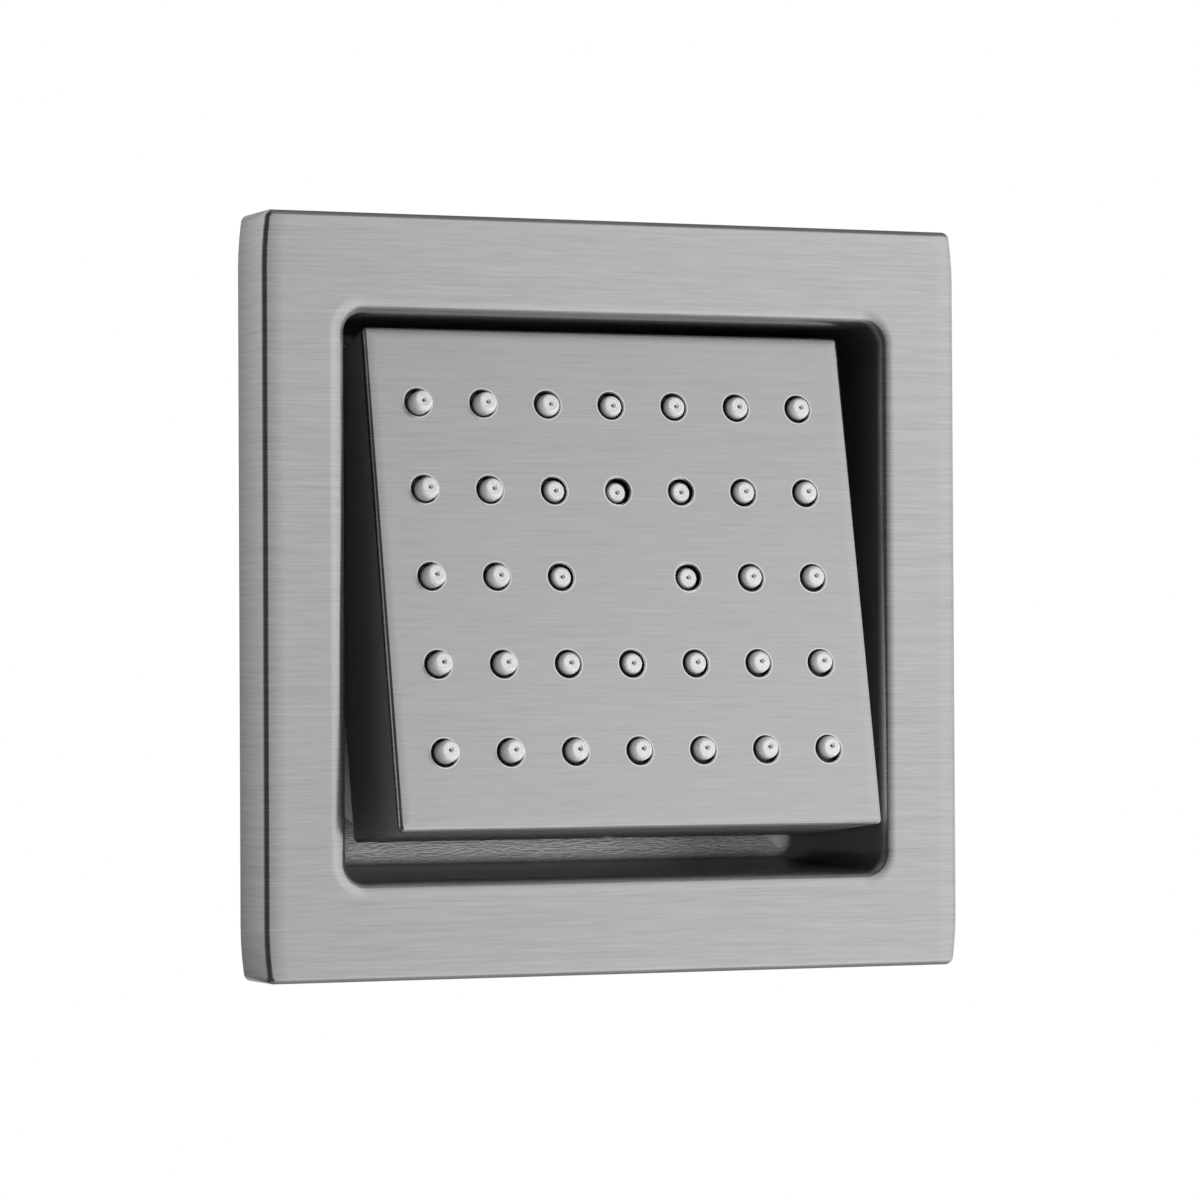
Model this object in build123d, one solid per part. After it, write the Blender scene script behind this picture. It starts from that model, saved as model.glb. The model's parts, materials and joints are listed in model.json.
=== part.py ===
"""Recessed shower body jet: a square brushed frame with a deep box, and a spray head on a ball joint.

Millimetres. +Z is up, the spray face looks towards -Y and the water comes in from +Y.
The pieces are drawn with the wall plane at Y = 0 and moved at export, so that the origin
is the centre of the inlet's mouth.
"""
import os
from math import cos, exp, radians, sin, sqrt, tan

from build123d import *

# Face frame
FRAME_SIZE = 115.0            # side of the square
SIDE_BORDER = 13.05           # frame's edge to the recess, left and right
TOP_BORDER = 15.0             # the same above and below
FRAME_THICKNESS = 10.8        # wall plane to front face
FRAME_WALL = 2.5              # front plate, rim and box walls
FRAME_EDGE = 0.85             # rounding of the outer front edge
CORNER_EASE_RADIUS = 50.0     # gentle bend of the left and right sides towards their corners
CORNER_EASE_ANGLE = 8.2       # how far that bend turns, in degrees
CORNER_EXTRA = 0.4            # corner's radius beyond that of the front edge
RIB_THICKNESS = 2.0           # ribs in the hollow back of the frame
RIB_SPACING = 32.0
GASKET_THICKNESS = 4.5        # wall gasket, flush with the rear rim
GASKET_CLEARANCE = 0.2

# Recess and its floor flange
RECESS_DRAFT = 2.0            # degrees
RECESS_CORNER = 3.0
RECESS_LIP = 1.1              # rounding of the mouth
RECESS_FOOT = 2.0             # rounding where the walls meet the floor
FLANGE_THICKNESS = 4.0
FLANGE_WIDTH = 6.0
OPENING_CHAMFER = 6.1         # corners of the opening in the floor
PLANE_SLACK = 0.01            # for finding the edges that lie in the front plane

# Spray head
HEAD_DEPTH = 22.3
HEAD_SIDE_DRAFT = 2.8         # degrees
HEAD_TOP_DRAFT = 5.6          # degrees
HEAD_EDGE = 0.55              # rounding round the spray face
HEAD_CORNER_EXTRA = 0.2       # corners' radius beyond that of the edge
HEAD_WALL = 2.2               # thinnest wall, at the open back
FACE_PLATE = 2.2
SIDE_GAP = 4.76               # head to recess, left and right, at the front
TOP_GAP = 3.84                # the same above and below
FACE_PROUD = 2.5              # spray face in front of the frame when level
HEAD_TILT = 11.2              # upward tilt in the photographed pose, degrees
TILT_LIMIT = 11.5             # up or down from level, degrees
TURN_LIMIT = 6.5              # left or right, degrees
SWING_CLEARANCE = 0.8         # head to recess floor at full tilt and turn

# Nozzle mat
NOZZLE_COLUMNS = 7
NOZZLE_ROWS = 5
NOZZLE_MARGIN_X = 8.07        # outer column to the head's side
NOZZLE_MARGIN_Z = 11.78       # outer row to the head's top or bottom
NOZZLE_RADIUS = 1.7
NOZZLE_ROUND = 1.15           # rounding of the tip
NOZZLE_GAP = 0.35             # nozzle to its hole
HOLE_EDGE = 0.2               # chamfer at each hole
DIMPLE_RADIUS = 0.45
DIMPLE_DEPTH = 0.35
JET_RADIUS = 0.25
JET_LENGTH = 0.9
FEED_RADIUS = 1.0             # wider channel behind the jet
MAT_THICKNESS = 1.5
NOZZLE_REACH = 2.1            # in front of the spray face
REACH_SLOPE = 0.018           # less reach per millimetre to the right
MAT_SAG = 2.7                 # the mat lies back near its middle
SAG_X = 0.5
SAG_Z = 5.0
SAG_WIDTH = 17.0
SAG_HEIGHT = 23.5
LIFT_SLOPE_X = 0.004          # the mat lies a little askew: up in its holes to the right
LIFT_SLOPE_Z = -0.005         # and a little short: down in its holes at the top

# Spray chamber
MAT_CLEARANCE = 0.2           # mat and chamber to the shell
CHAMBER_GAP = 2.4             # water space behind the mat
CHAMBER_PLATE = 2.5
CHAMBER_RIM = 2.0             # rim that clamps the mat, and skirt
SKIRT_SETBACK = 2.3           # skirt's end in front of the shell's end
CHAMBER_RIB = 1.8
CHAMBER_RIB_HEIGHT = 5.0
SET_SCREW_X = 2.6
SET_SCREW_SETBACK = 2.8       # screw axis in front of the shell's end
SET_SCREW_RADIUS = 1.5
SET_SCREW_SINK = 0.3
SET_SCREW_SOCKET = 0.8

# Ball joint
BALL_RADIUS = 9.0
BALL_CLEARANCE = 0.1
NECK_RADIUS = 5.5
WATER_RADIUS = 4.0
PORT_CLEARANCE = 0.5          # ball to the chamber's port
PORT_RADIUS = 6.3
SEAL_HEIGHT = 2.5
BOSS_WALL = 5.1
BOSS_CLEARANCE = 0.4          # ball to the boss's bore
BOSS_SETBACK = 1.0            # boss's end in front of the ball's centre
RING_WALL = 1.9
RING_START = 0.6              # behind the ball's centre
RING_END = 5.4
RING_SLIT = 1.0
COLLAR_WALL = 3.0
COLLAR_LENGTH = 11.5
COLLAR_END = 6.0              # behind the ball's centre
COLLAR_STEP = 0.5             # seat's start in front of the ball's centre
COLLAR_NOTCHES = 6
COLLAR_NOTCH = 3.0
COLLAR_NOTCH_DEPTH = 2.0
COLLAR_CLEARANCE = 0.2        # collar nut to the chamber's ribs

# Ball nipple, inlet body and plate
HEX_FACE = 0.95               # round face left at a hexagon's end, as a share of its flats
HEX_CHAMFER = 25.0            # slope of its turned corners, degrees
NIPPLE_HEX = 19.0             # across flats
NIPPLE_HEX_LENGTH = 4.5
NIPPLE_SHANK_RADIUS = 6.5
NIPPLE_SHANK_LENGTH = 7.5
NIPPLE_SEAL_WIDTH = 2.0
NIPPLE_SEAL_HEIGHT = 1.5
INLET_RADIUS = 13.0           # barrel through the plate
INLET_FRONT = 6.0             # barrel in front of the plate
INLET_FLANGE_RADIUS = 18.0
INLET_FLANGE = 3.5
INLET_HEX = 30.0              # across flats
THREAD_RADIUS = 9.3           # half-inch pipe thread, at its crests
THREAD_LENGTH = 13.0
RELIEF_DEPTH = 0.4
INLET_WASHER = 2.0
INLET_WASHER_BORE = 6.0
POCKET_RADIUS = 6.8
FILTER_HEIGHT = 3.0
FILTER_SHEET = 0.5
FILTER_HOLE = 0.5             # radius
FILTER_PITCH = 1.8            # from one ring of holes to the next
FILTER_RINGS = 3
REGULATOR_THICKNESS = 3.0
REGULATOR_BORE = 1.6
POCKET_FLOOR = 1.0
LOCKNUT_HEX = 34.0            # across flats
LOCKNUT_THICKNESS = 4.5
LOCKNUT_WASHER = 1.0
INLET_GASKET = 1.5
BORE_CLEARANCE = 0.2          # barrel to plate, washer and gasket
PLATE_THICKNESS = 2.0
PLATE_INSET = 0.8
PLATE_CORNER = 4.0
SCREW_RADIUS = 2.0
SCREW_CLEARANCE = 0.2
SCREW_HEAD_RADIUS = 3.5
SCREW_HEAD = 2.5
SCREW_SOCKET = 3.0            # across flats
SCREW_INSET = 5.0             # from the recess walls at the floor
SCREW_SKIN = 1.5              # flange left in front of a screw

# Sizes that follow from the ones above
CORNER_RADIUS = FRAME_EDGE + CORNER_EXTRA
RECESS_WIDTH = FRAME_SIZE - 2 * SIDE_BORDER
RECESS_HEIGHT = FRAME_SIZE - 2 * TOP_BORDER
HEAD_WIDTH = RECESS_WIDTH - 2 * SIDE_GAP
HEAD_HEIGHT = RECESS_HEIGHT - 2 * TOP_GAP
HEAD_REAR_WIDTH = HEAD_WIDTH - 2 * HEAD_DEPTH * tan(radians(HEAD_SIDE_DRAFT))
HEAD_REAR_HEIGHT = HEAD_HEIGHT - 2 * HEAD_DEPTH * tan(radians(HEAD_TOP_DRAFT))
CAVITY_WIDTH = HEAD_REAR_WIDTH - 2 * HEAD_WALL
CAVITY_HEIGHT = HEAD_REAR_HEIGHT - 2 * HEAD_WALL
MAT_WIDTH = CAVITY_WIDTH - 2 * MAT_CLEARANCE
MAT_HEIGHT = CAVITY_HEIGHT - 2 * MAT_CLEARANCE
NOZZLE_PITCH_X = (HEAD_WIDTH - 2 * NOZZLE_MARGIN_X) / (NOZZLE_COLUMNS - 1)
NOZZLE_PITCH_Z = (HEAD_HEIGHT - 2 * NOZZLE_MARGIN_Z) / (NOZZLE_ROWS - 1)
HOLE_RADIUS = NOZZLE_RADIUS + NOZZLE_GAP
SOCKET_RADIUS = BALL_RADIUS + BALL_CLEARANCE
RING_RADIUS = SOCKET_RADIUS + RING_WALL
BOSS_BORE = BALL_RADIUS + BOSS_CLEARANCE
BOSS_RADIUS = BOSS_BORE + BOSS_WALL
COLLAR_RADIUS = BOSS_RADIUS + COLLAR_WALL

# Places along Y, from the wall plane
FRONT_Y = -FRAME_THICKNESS
BALL_SINK = sqrt(BALL_RADIUS ** 2 - (PORT_RADIUS - PORT_CLEARANCE) ** 2)
CHAMBER_DEPTH = FACE_PLATE + MAT_THICKNESS + CHAMBER_GAP + CHAMBER_PLATE
BALL_DEPTH = CHAMBER_DEPTH + BALL_SINK     # ball's centre behind the spray face
BALL_Y = FRONT_Y - FACE_PROUD + BALL_DEPTH


def head_reach():
    """How far behind the ball's centre a rear corner of the head comes at full tilt and turn."""
    tilt = radians(TILT_LIMIT)
    turn = radians(TURN_LIMIT)
    turned_depth = HEAD_REAR_WIDTH / 2 * sin(turn) + (HEAD_DEPTH - BALL_DEPTH) * cos(turn)
    return turned_depth * cos(tilt) + HEAD_REAR_HEIGHT / 2 * sin(tilt)


FLOOR_Y = BALL_Y + head_reach() + SWING_CLEARANCE
FLANGE_BACK_Y = FLOOR_Y + FLANGE_THICKNESS
PLATE_BACK_Y = FLANGE_BACK_Y + PLATE_THICKNESS
INLET_FRONT_Y = FLANGE_BACK_Y - INLET_FRONT
INLET_FLANGE_Y = PLATE_BACK_Y + INLET_GASKET
SHANK_END_Y = INLET_FRONT_Y + NIPPLE_SHANK_LENGTH
POCKET_Y = SHANK_END_Y + POCKET_FLOOR
RELIEF_Y = POCKET_Y + REGULATOR_THICKNESS + FILTER_HEIGHT
THREAD_Y = RELIEF_Y + INLET_WASHER
INLET_END_Y = THREAD_Y + THREAD_LENGTH


def plane_at(y):
    """Plane across the Y axis, with its own x along X and its own y along Z."""
    return Plane(origin=(0, y, 0), x_dir=(1, 0, 0), z_dir=(0, -1, 0))


def slab(profile, start, end):
    """Extrudes a flat profile, drawn about the origin, from one Y to another."""
    return extrude(plane_at(start) * profile, amount=start - end)


def turned(points):
    """Turns a closed outline of (radius, y) points about the Y axis."""
    return revolve(make_face(Polyline(*points, close=True)), Axis.Y)


def rod(radius, start, end):
    """Round bar on the Y axis."""
    return slab(Circle(radius), start, end)


def hexagon(across_flats):
    return RegularPolygon(across_flats / 2, 6, major_radius=False)


def hex_bar(across_flats, start, end):
    """Hexagonal bar on the Y axis, with its corners turned off at both ends."""
    corner = across_flats / sqrt(3)
    face = HEX_FACE * across_flats / 2
    drop = (corner - face) * tan(radians(HEX_CHAMFER))
    blank = turned([
        (0, start),
        (face, start),
        (corner, start + drop),
        (corner, end - drop),
        (face, end),
        (0, end)])
    return slab(hexagon(across_flats), start, end) & blank


def drafted(width, height, corner, start, end, side_draft, top_draft):
    """Rounded block that narrows towards its end by a draft angle on each pair of sides."""
    depth = end - start
    end_width = width - 2 * depth * tan(radians(side_draft))
    end_height = height - 2 * depth * tan(radians(top_draft))
    near = plane_at(start) * RectangleRounded(width, height, corner)
    far = plane_at(end) * RectangleRounded(end_width, end_height, corner)
    return loft([near, far], ruled=True)


def recess_half(size, y):
    """Half width or height of the recess at a given Y."""
    return size / 2 - (y - FRONT_Y) * tan(radians(RECESS_DRAFT))


def in_pose(piece, tilt):
    """Moves a piece drawn about the ball's centre into the head's place, tilted upwards."""
    return Pos(0, BALL_Y, 0) * Rot(-tilt, 0, 0) * piece


# Face frame


def frame_outline(inset):
    """Square whose left and right sides bend gently inwards before each tight corner."""
    ease = radians(CORNER_EASE_ANGLE)
    half = FRAME_SIZE / 2 - inset
    upright_half = half - CORNER_EASE_RADIUS * sin(ease) - CORNER_RADIUS * (1 - sin(ease))
    level_half = half - CORNER_EASE_RADIUS * (1 - cos(ease)) - CORNER_RADIUS * cos(ease)
    tight_angle = 90 - CORNER_EASE_ANGLE
    edges = []
    for side in (1, -1):
        upright = Line((side * half, -side * upright_half), (side * half, side * upright_half))
        ease_in = JernArc(upright @ 1, upright % 1, CORNER_EASE_RADIUS, CORNER_EASE_ANGLE)
        corner_in = JernArc(ease_in @ 1, ease_in % 1, CORNER_RADIUS, tight_angle)
        level = Line(corner_in @ 1, (-side * level_half, side * half))
        corner_out = JernArc(level @ 1, level % 1, CORNER_RADIUS, tight_angle)
        ease_out = JernArc(corner_out @ 1, corner_out % 1, CORNER_EASE_RADIUS, CORNER_EASE_ANGLE)
        edges += [upright, ease_in, corner_in, level, corner_out, ease_out]
    return make_face(edges)


def frame_ribs():
    """Bars across the back of the frame; the recess is cut out of them later."""
    start = FRONT_Y + FRAME_WALL
    length = FRAME_SIZE - FRAME_WALL
    bars = []
    for step in (-1, 0, 1):
        upright = Pos(step * RIB_SPACING, 0) * Rectangle(RIB_THICKNESS, length)
        level = Pos(0, step * RIB_SPACING) * Rectangle(length, RIB_THICKNESS)
        bars += [slab(upright, start, -GASKET_THICKNESS), slab(level, start, -GASKET_THICKNESS)]
    return bars


def floor_opening():
    """Opening in the recess floor, with chamfered corners."""
    width = 2 * (recess_half(RECESS_WIDTH, FLOOR_Y) - FLANGE_WIDTH)
    height = 2 * (recess_half(RECESS_HEIGHT, FLOOR_Y) - FLANGE_WIDTH)
    outline = Rectangle(width, height)
    return chamfer(outline.vertices(), OPENING_CHAMFER)


def screw_places():
    x = recess_half(RECESS_WIDTH, FLOOR_Y) - SCREW_INSET
    z = recess_half(RECESS_HEIGHT, FLOOR_Y) - SCREW_INSET
    return [(side * x, 0, level * z) for side in (-1, 1) for level in (-1, 1)]


def screw_start():
    return FLOOR_Y + SCREW_SKIN


def face_frame():
    hollow_start = FRONT_Y + FRAME_WALL
    shell = slab(frame_outline(0), FRONT_Y, 0) - slab(frame_outline(FRAME_WALL), hollow_start, 0)
    box = drafted(
        2 * (recess_half(RECESS_WIDTH, hollow_start) + FRAME_WALL),
        2 * (recess_half(RECESS_HEIGHT, hollow_start) + FRAME_WALL),
        RECESS_CORNER + FRAME_WALL, hollow_start, FLANGE_BACK_Y, RECESS_DRAFT, RECESS_DRAFT)
    recess = drafted(
        RECESS_WIDTH, RECESS_HEIGHT, RECESS_CORNER, FRONT_Y, FLOOR_Y, RECESS_DRAFT, RECESS_DRAFT)
    recess = fillet(recess.faces().sort_by(Axis.Y)[-1].edges(), RECESS_FOOT)
    frame = shell + box + frame_ribs() - recess
    frame -= slab(floor_opening(), FLOOR_Y - RECESS_FOOT, FLANGE_BACK_Y)
    screw_hole = rod(SCREW_RADIUS, screw_start(), FLANGE_BACK_Y)
    frame -= [Pos(*place) * screw_hole for place in screw_places()]
    frame = fillet([edge for edge in front_edges(frame) if not near_rim(edge)], RECESS_LIP)
    return fillet([edge for edge in front_edges(frame) if near_rim(edge)], FRAME_EDGE)


def front_edges(frame):
    return frame.edges().filter_by_position(Axis.Y, FRONT_Y - PLANE_SLACK, FRONT_Y + PLANE_SLACK)


def near_rim(edge):
    """True for an edge of the frame's outline, and false for one of the recess's mouth."""
    middle = edge.center()
    return max(abs(middle.X), abs(middle.Z)) > (FRAME_SIZE + RECESS_WIDTH) / 4


def wall_gasket():
    """Soft ring between the rim and the box, resting on the ribs."""
    growth = FRAME_WALL + GASKET_CLEARANCE
    outer = frame_outline(growth)
    width = 2 * (recess_half(RECESS_WIDTH, -GASKET_THICKNESS) + growth)
    height = 2 * (recess_half(RECESS_HEIGHT, -GASKET_THICKNESS) + growth)
    inner = RectangleRounded(width, height, RECESS_CORNER + growth)
    return slab(outer - inner, -GASKET_THICKNESS, 0)


# Plate and inlet


def mounting_plate():
    growth = FRAME_WALL - PLATE_INSET
    width = 2 * (recess_half(RECESS_WIDTH, FLANGE_BACK_Y) + growth)
    height = 2 * (recess_half(RECESS_HEIGHT, FLANGE_BACK_Y) + growth)
    outline = RectangleRounded(width, height, PLATE_CORNER) - Circle(INLET_RADIUS + BORE_CLEARANCE)
    plate = slab(outline, FLANGE_BACK_Y, PLATE_BACK_Y)
    hole = rod(SCREW_RADIUS + SCREW_CLEARANCE, FLANGE_BACK_Y, PLATE_BACK_Y)
    return plate - [Pos(*place) * hole for place in screw_places()]


def plate_screws():
    shank = rod(SCREW_RADIUS, screw_start(), PLATE_BACK_Y)
    head = rod(SCREW_HEAD_RADIUS, PLATE_BACK_Y, PLATE_BACK_Y + SCREW_HEAD)
    slot = slab(hexagon(SCREW_SOCKET), PLATE_BACK_Y + SCREW_HEAD / 2, PLATE_BACK_Y + SCREW_HEAD)
    screw = shank + head - slot
    return Compound([Pos(*place) * screw.solid() for place in screw_places()])


def inlet_body():
    body = rod(INLET_RADIUS, INLET_FRONT_Y, INLET_FLANGE_Y)
    body += rod(INLET_FLANGE_RADIUS, INLET_FLANGE_Y, INLET_FLANGE_Y + INLET_FLANGE)
    body += hex_bar(INLET_HEX, INLET_FLANGE_Y, INLET_END_Y)
    seal_radius = NIPPLE_SHANK_RADIUS + NIPPLE_SEAL_WIDTH
    body -= rod(seal_radius, INLET_FRONT_Y, INLET_FRONT_Y + NIPPLE_SEAL_HEIGHT)
    body -= rod(NIPPLE_SHANK_RADIUS, INLET_FRONT_Y, SHANK_END_Y)
    body -= rod(WATER_RADIUS, SHANK_END_Y, POCKET_Y)
    body -= rod(POCKET_RADIUS, POCKET_Y, RELIEF_Y)
    body -= rod(THREAD_RADIUS + RELIEF_DEPTH, RELIEF_Y, THREAD_Y)
    return body - rod(THREAD_RADIUS, THREAD_Y, INLET_END_Y)


def ring(inner, outer, start, end):
    """Flat ring on the Y axis."""
    return slab(Circle(outer) - Circle(inner), start, end)


def inlet_gasket():
    return ring(INLET_RADIUS + BORE_CLEARANCE, INLET_FLANGE_RADIUS, PLATE_BACK_Y, INLET_FLANGE_Y)


def locknut_washer():
    start = FLANGE_BACK_Y - LOCKNUT_WASHER
    return ring(INLET_RADIUS + BORE_CLEARANCE, INLET_FLANGE_RADIUS, start, FLANGE_BACK_Y)


def inlet_locknut():
    end = FLANGE_BACK_Y - LOCKNUT_WASHER
    start = end - LOCKNUT_THICKNESS
    return hex_bar(LOCKNUT_HEX, start, end) - rod(INLET_RADIUS, start, end)


def inlet_washer():
    return ring(INLET_WASHER_BORE, THREAD_RADIUS + RELIEF_DEPTH, RELIEF_Y, THREAD_Y)


def filter_screen():
    """Shallow cup that stands on the flow disc, with rings of holes through its end."""
    start = POCKET_Y + REGULATOR_THICKNESS
    end_sheet = RELIEF_Y - FILTER_SHEET
    cup = rod(POCKET_RADIUS, start, RELIEF_Y)
    cup -= rod(POCKET_RADIUS - FILTER_SHEET, start, end_sheet)
    hole = rod(FILTER_HOLE, end_sheet, RELIEF_Y)
    cup -= hole
    for count in range(1, FILTER_RINGS + 1):
        first = Pos(count * FILTER_PITCH, 0, 0) * hole
        cup -= [Rot(0, 60 / count * step, 0) * first for step in range(6 * count)]
    return cup


def flow_regulator():
    return ring(REGULATOR_BORE, POCKET_RADIUS, POCKET_Y, POCKET_Y + REGULATOR_THICKNESS)


def ball_nipple():
    """Ball, neck, hexagon and shank in one turned piece with a water bore."""
    nipple = Pos(0, BALL_Y, 0) * Sphere(BALL_RADIUS)
    hex_start = INLET_FRONT_Y - NIPPLE_HEX_LENGTH
    nipple += rod(NECK_RADIUS, BALL_Y, hex_start)
    nipple += hex_bar(NIPPLE_HEX, hex_start, INLET_FRONT_Y)
    nipple += rod(NIPPLE_SHANK_RADIUS, INLET_FRONT_Y, SHANK_END_Y)
    return nipple - rod(WATER_RADIUS, BALL_Y - BALL_RADIUS, SHANK_END_Y)


def nipple_seal():
    outer = NIPPLE_SHANK_RADIUS + NIPPLE_SEAL_WIDTH
    return ring(NIPPLE_SHANK_RADIUS, outer, INLET_FRONT_Y, INLET_FRONT_Y + NIPPLE_SEAL_HEIGHT)


# Spray head, drawn level about the ball's centre


def head_y(depth):
    """Y of a place at a given depth behind the spray face."""
    return depth - BALL_DEPTH


def nozzle_places():
    """Centres of the nozzles; the middle place of the grid is bare."""
    places = []
    for row in range(NOZZLE_ROWS):
        for column in range(NOZZLE_COLUMNS):
            x = (column - (NOZZLE_COLUMNS - 1) / 2) * NOZZLE_PITCH_X
            z = ((NOZZLE_ROWS - 1) / 2 - row) * NOZZLE_PITCH_Z
            if (x, z) != (0, 0):
                places.append((x, z))
    return places


def nozzle_reach(x, z):
    """How far a nozzle stands in front of the spray face: less where the mat lies back."""
    sag = MAT_SAG * exp(-((x - SAG_X) / SAG_WIDTH) ** 2 - ((z - SAG_Z) / SAG_HEIGHT) ** 2)
    return NOZZLE_REACH - REACH_SLOPE * x - sag


def head_block():
    """Drafted block of the head, rounded a little at its corners and round its spray face."""
    face = plane_at(head_y(0)) * Rectangle(HEAD_WIDTH, HEAD_HEIGHT)
    back = plane_at(head_y(HEAD_DEPTH)) * Rectangle(HEAD_REAR_WIDTH, HEAD_REAR_HEIGHT)
    block = loft([face, back], ruled=True)
    middle = head_y(HEAD_DEPTH / 2)
    corners = block.edges().filter_by_position(Axis.Y, middle - PLANE_SLACK, middle + PLANE_SLACK)
    block = fillet(corners, HEAD_EDGE + HEAD_CORNER_EXTRA)
    return fillet(block.faces().sort_by(Axis.Y)[0].edges(), HEAD_EDGE)


def head_shell():
    shell = head_block()
    shell -= slab(Rectangle(CAVITY_WIDTH, CAVITY_HEIGHT), head_y(FACE_PLATE), head_y(HEAD_DEPTH))
    hole = turned([
        (0, head_y(0)),
        (HOLE_RADIUS + HOLE_EDGE, head_y(0)),
        (HOLE_RADIUS, head_y(HOLE_EDGE)),
        (HOLE_RADIUS, head_y(FACE_PLATE)),
        (0, head_y(FACE_PLATE))])
    shell -= [Pos(x, 0, z) * hole for x, z in nozzle_places()]
    return shell - set_screw_bar(SET_SCREW_RADIUS, -HEAD_HEIGHT / 2, -CAVITY_HEIGHT / 2)


def nozzle(reach):
    """One round-tipped nozzle standing on the mat."""
    tip = head_y(0) - reach
    foot = head_y(FACE_PLATE)
    side = Line((NOZZLE_RADIUS, foot), (NOZZLE_RADIUS, tip + NOZZLE_ROUND))
    shoulder = JernArc(side @ 1, side % 1, NOZZLE_ROUND, -90)
    end = Polyline(shoulder @ 1, (0, tip), (0, foot), side @ 0)
    return revolve(make_face([side, shoulder, *end.edges()]), Axis.Y)


def nozzle_bore(reach):
    """Dimple and narrow jet at the tip, with a wider channel behind."""
    tip = head_y(0) - reach
    back = head_y(FACE_PLATE + MAT_THICKNESS)
    return turned([
        (0, tip),
        (DIMPLE_RADIUS, tip),
        (JET_RADIUS, tip + DIMPLE_DEPTH),
        (JET_RADIUS, tip + JET_LENGTH),
        (FEED_RADIUS, tip + 2 * JET_LENGTH),
        (FEED_RADIUS, back),
        (0, back)])


def nozzle_mat():
    mat = slab(Rectangle(MAT_WIDTH, MAT_HEIGHT), head_y(FACE_PLATE), head_y(FACE_PLATE + MAT_THICKNESS))
    nozzles = []
    bores = []
    for x, z in nozzle_places():
        reach = nozzle_reach(x, z)
        place = Pos(x, 0, z + LIFT_SLOPE_X * x + LIFT_SLOPE_Z * z)
        nozzles.append(place * nozzle(reach))
        bores.append(place * nozzle_bore(reach))
    return mat + nozzles - bores


def chamber_ribs():
    """Ribs on the chamber's back, from outside the collar nut to the skirt."""
    inner = COLLAR_RADIUS + COLLAR_CLEARANCE
    bars = Rectangle(MAT_WIDTH, CHAMBER_RIB) + Rectangle(CHAMBER_RIB, MAT_HEIGHT)
    bars += [Rot(0, 0, angle) * Rectangle(MAT_WIDTH, CHAMBER_RIB) for angle in (45, -45)]
    bars = (bars & Rectangle(MAT_WIDTH, MAT_HEIGHT)) - Circle(inner)
    return slab(bars, head_y(CHAMBER_DEPTH), head_y(CHAMBER_DEPTH + CHAMBER_RIB_HEIGHT))


def spray_chamber():
    outline = Rectangle(MAT_WIDTH, MAT_HEIGHT)
    rim = outline - Rectangle(MAT_WIDTH - 2 * CHAMBER_RIM, MAT_HEIGHT - 2 * CHAMBER_RIM)
    front = head_y(FACE_PLATE + MAT_THICKNESS)
    plate_front = head_y(CHAMBER_DEPTH - CHAMBER_PLATE)
    plate_back = head_y(CHAMBER_DEPTH)
    chamber = slab(outline, plate_front, plate_back)
    chamber += slab(rim, front, plate_front)
    chamber += slab(rim, plate_back, head_y(HEAD_DEPTH - SKIRT_SETBACK))
    chamber += chamber_ribs()
    chamber += rod(BOSS_RADIUS, plate_back, -BOSS_SETBACK)
    chamber -= rod(BOSS_BORE, plate_back, -BOSS_SETBACK)
    return chamber - rod(PORT_RADIUS, plate_front, plate_back)


def socket_seal():
    """Seal that fills the space between the boss's bore and the ball."""
    start = head_y(CHAMBER_DEPTH)
    return rod(BOSS_BORE, start, start + SEAL_HEIGHT) - Sphere(SOCKET_RADIUS)


def collar_nut():
    """Nut on the boss, with a round seat for the friction ring and notches for a wrench."""
    front = COLLAR_END - COLLAR_LENGTH
    nut = rod(COLLAR_RADIUS, front, COLLAR_END)
    nut -= rod(BOSS_RADIUS, front, -COLLAR_STEP)
    nut -= Sphere(RING_RADIUS + BALL_CLEARANCE)
    slot = Pos(COLLAR_RADIUS, 0) * Rectangle(COLLAR_WALL, COLLAR_NOTCH)
    notch = slab(slot, COLLAR_END - COLLAR_NOTCH_DEPTH, COLLAR_END)
    return nut - [Rot(0, 360 / COLLAR_NOTCHES * step, 0) * notch for step in range(COLLAR_NOTCHES)]


def friction_ring():
    """Split ring, round on both sides, between the ball and the collar nut."""
    blank = rod(RING_RADIUS, RING_START, RING_END) & Sphere(RING_RADIUS)
    blank -= Sphere(SOCKET_RADIUS)
    return blank - slab(Pos(RING_RADIUS / 2, 0) * Rectangle(RING_RADIUS, RING_SLIT), RING_START, RING_END)


def set_screw_bar(radius, low, high):
    """Upright bar at the set screw's place in the head's lower wall."""
    depth = head_y(HEAD_DEPTH - SET_SCREW_SETBACK)
    return Pos(SET_SCREW_X, depth, low) * extrude(Circle(radius), amount=high - low)


def set_screw():
    """Headless screw through the shell's lower wall, bearing on the chamber's skirt."""
    draft = tan(radians(HEAD_TOP_DRAFT))
    outside = -HEAD_HEIGHT / 2 + (HEAD_DEPTH - SET_SCREW_SETBACK) * draft
    low = outside + SET_SCREW_SINK
    screw = set_screw_bar(SET_SCREW_RADIUS, low, -MAT_HEIGHT / 2)
    return screw - set_screw_bar(SET_SCREW_SOCKET, low, low + SET_SCREW_RADIUS)


# Export


def write(name, piece):
    """Moves a piece so that the inlet's mouth is the origin, and writes it."""
    moved = Pos(0, -INLET_END_Y, 0) * piece
    solids = moved.solids()
    export_step(solids[0] if len(solids) == 1 else Compound(solids), f"parts/{name}.step")


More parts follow.
